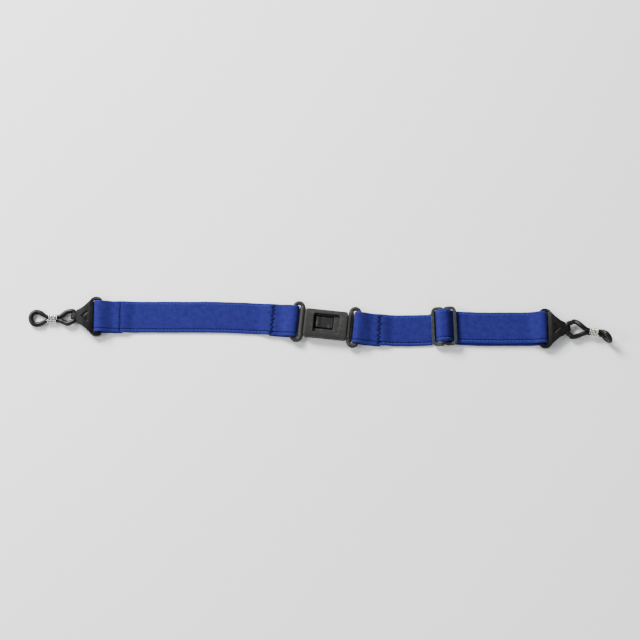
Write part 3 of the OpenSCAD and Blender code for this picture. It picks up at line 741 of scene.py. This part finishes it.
moulded("left_connector_shell", "left_end_connector", "left_connector", CONNECTOR_PLASTIC,
        "plastic", 0.17, 7, crown_connector(LEFT_CONNECTOR))
moulded("right_connector_shell", "right_end_connector", "right_connector", CONNECTOR_PLASTIC,
        "plastic", 0.17, 7, crown_connector(RIGHT_CONNECTOR))
moulded("buckle_socket_shell", "buckle_socket", "socket", BUCKLE_PLASTIC, "plastic", 0.19, 8,
        crown_socket)
moulded("buckle_plug_shell", "buckle_plug", "plug", BUCKLE_PLASTIC, "plastic", 0.19, 6, crown_plug)
moulded("latch_tongue_shell", "latch_tongue", "latch", TONGUE_PLASTIC, "plastic", 0.14, 9)
moulded("slider_frame_shell", "slider_frame", "slider", SLIDER_PLASTIC, "slider_plastic", 0.15, 6)


# ---------- Rubber loops and wire ferrules ----------

STRAND_R, PINCHED_R, PINCHED_V = 1.25, 0.9, 0.93
WIRE_R, WIRE_TIP_R, WIRE_PLAY = 0.27, 0.16, 0.06
TURN_R, HUB_HALF, COIL_LENGTH = 1.55, 1.3, 5.2
LEFT_PINCH, LEFT_COIL = (8.2, 14.3), 8.7
RIGHT_PINCH, RIGHT_COIL = (10.8, 16.8), 11.3


def ring_half(wi, c, wo, uo, ue, slow=1.0):
    """Half of a loop's middle line as (u, v), from the bore to its far end: a turn out of
    the bore, the near eye of half-width wi, strands side by side from c[0] to c[1], and
    the outer eye of half-width wo at uo that ends at ue. slow above 1 keeps the strands
    together for longer before the outer eye opens."""
    a = np.linspace(0, np.pi / 2, 12)
    i = np.linspace(0.4, 3, 6)
    s = np.linspace(0, 1, 16)[1:-1]
    e = np.linspace(0.1, 1, 14)
    f = np.linspace(0.06, 1, 16) * np.pi / 2
    out_v, eye_u = HUB_HALF + TURN_R, TURN_R + 1.5
    opening = np.sin(e * np.pi / 2) ** slow
    return np.concatenate([
        np.stack([0 * a[:2], [0, 0.65]], -1),
        np.stack([TURN_R * (1 - np.cos(a)), HUB_HALF + TURN_R * np.sin(a)], -1),
        np.stack([TURN_R + i * 0.5, out_v + (wi - out_v) * smooth(0, 3, i)], -1),
        np.stack([eye_u + s * (c[0] - eye_u), wi + (PINCHED_V - wi) * smooth(0, 1, s)], -1),
        level(np.linspace(c[0], c[1], 12), PINCHED_V),
        np.stack([c[1] + e * (uo - c[1]), PINCHED_V + (wo - PINCHED_V) * opening], -1),
        np.stack([uo + (ue - uo) * np.sin(f), wo * np.cos(f)], -1)])


def left_line(u):
    """The left loop's own line: place, height, heading and roll."""
    return (u, 0.6 * smooth(0.5, 4, u) + 0.4 * smooth(4, 8.2, u) - 0.3 * smooth(15, 20, u),
            BORE_Z - (BORE_Z - 1.6) * smooth(1.2, 7, u) - 0.3 * smooth(15.5, 20, u),
            0 * u, 0 * u)


def right_line(u):
    """The right loop's line bends back towards the strap's near side and rolls over."""
    x, y, h = course((0, 0, 0), [(3, -12), (7, 4), (6.9, 0), (3.2, -44), (6, 0)], u)
    return (x, y, BORE_Z + 0.65 * smooth(1.5, 8.5, u) + 1.1 * smooth(16.9, 19, u),
            h, np.radians(28 * smooth(3, 9, u) + 51 * smooth(16.9, 19, u)))


def out_in_room(pose, x, y, z):
    """A connector's own points as points in the room."""
    turn = math.radians(pose[2])
    return np.stack([pose[0] + x * math.cos(turn) - y * math.sin(turn),
                     pose[1] + x * math.sin(turn) + y * math.cos(turn), z], -1)


def loop_place(line, pose, u, v):
    """Points v to the side of the line at u, out in the room."""
    x, y, z, h, roll = line(u)
    return out_in_room(pose, x - v * np.cos(roll) * np.sin(h) + REACH,
                       y + v * np.cos(roll) * np.cos(h), z + v * np.sin(roll))


def rubber_loop(name, node, bodies, line, pose, half, pinch, mirror):
    """A closed round strand along the loop's line, thinner where the ferrule grips it."""
    ring = np.concatenate([half, (half * [1, -1])[-2:0:-1]])
    closed = np.concatenate([ring, ring[:1]])
    s = np.concatenate([[0], np.cumsum(np.hypot(*np.diff(closed, axis=0).T))])
    new = np.linspace(0, s[-1], 321)[:-1]
    u, v = (np.interp(new, s, closed[:, k]) for k in (0, 1))
    for _ in range(6):
        u, v = ((np.roll(f, 1) + 2 * f + np.roll(f, -1)) / 4 for f in (u, v))
    r = STRAND_R - ((STRAND_R - PINCHED_R - 0.06) * smooth(pinch[0] - 2, pinch[0], u)
                    * smooth(pinch[1] + 3, pinch[1], u))
    p = loop_place(line, pose, u, v * mirror)
    skin = round_skin(p, unit(np.roll(p, -1, 0) - np.roll(p, 1, 0)), [0, 0, 1.0], r, 22)
    start, end = (tuple(loop_place(line, pose, np.array([w]), np.zeros(1))[0] * MM)
                  for w in (2.5, pinch[0] - 0.5))
    finish_piece(surface(name, skin, ring=True), RUBBER, "rubber", [node],
                 blend=(*bodies, start, end))


def wound_ferrule(name, node, body, line, pose, start, mirror, turns=6):
    """Wire wound round the two strands: a helix whose every turn is a flat-sided oval,
    two half circles joined by straights, with its ends tucked in."""
    n = turns * 56      # points along the wire
    f = np.linspace(0, turns, n)
    r = PINCHED_R + WIRE_PLAY + WIRE_R
    straight, round_ = 2 * PINCHED_V, np.pi * r
    walk = (f % 1) * 2 * (straight + round_)
    a = np.clip((walk - straight) / r, 0, np.pi)
    b = np.clip((walk - 2 * straight - round_) / r, 0, np.pi)
    v = (-PINCHED_V + np.clip(walk, 0, straight) + r * np.sin(a)
         - np.clip(walk - straight - round_, 0, straight) - r * np.sin(b))
    w = r * np.cos(a) + (r - r * np.cos(b))
    tuck = 1 - 0.22 * (smooth(0.12, 0, f) + smooth(turns - 0.12, turns, f))
    u = 0.3 + f * (COIL_LENGTH - 0.6) / turns
    mid = line(np.array([start + COIL_LENGTH / 2]))
    x, y, z, h, roll = (float(m[0]) for m in mid)
    v, w, u = v * tuck * mirror, w * tuck, u - COIL_LENGTH / 2
    side = v * math.cos(roll) - w * math.sin(roll)
    out = v * math.sin(roll) + w * math.cos(roll)
    wire = out_in_room(pose, x + u * math.cos(h) - side * math.sin(h) + REACH,
                       y + u * math.sin(h) + side * math.cos(h), z + out)
    turn = h + math.radians(pose[2])
    thick = np.full(n, WIRE_R)
    thick[[0, -1]] = WIRE_TIP_R
    skin = round_skin(wire, unit(np.gradient(wire, axis=0)),
                      [math.cos(turn), math.sin(turn), 0.0], thick, 12)
    finish_piece(surface(name, skin), WIRE, "wire", [node], ride=body)


rubber_loop("left_rubber_ring", "left_rubber_loop", ("left_loop", "left_ferrule"), left_line,
            LEFT_CONNECTOR, ring_half(3.1, LEFT_PINCH, 3.25, 19.4, 22.25), LEFT_PINCH, -1)
rubber_loop("right_rubber_ring", "right_rubber_loop", ("right_loop", "right_ferrule"), right_line,
            RIGHT_CONNECTOR, ring_half(4.0, RIGHT_PINCH, 2.5, 20.2, 23.4, 2.0), RIGHT_PINCH, 1)
wound_ferrule("left_wound_wire", "left_coil_ferrule", "left_ferrule", left_line, LEFT_CONNECTOR,
              LEFT_COIL, -1)
wound_ferrule("right_wound_wire", "right_coil_ferrule", "right_ferrule", right_line,
              RIGHT_CONNECTOR, RIGHT_COIL, 1)


# ---------- Floor and size ----------

FLOOR_HALF = 3      # metres
floor_mesh = bpy.data.meshes.new("floor")
floor_mesh.from_pydata([(x * FLOOR_HALF, y * FLOOR_HALF, 0) for x, y in
                        [(-1, -1), (1, -1), (1, 1), (-1, 1)]], [], [(0, 1, 2, 3)])
floor_mesh.materials.append(pale_floor())
floor = bpy.data.objects.new("floor", floor_mesh)
bpy.context.collection.objects.link(floor)
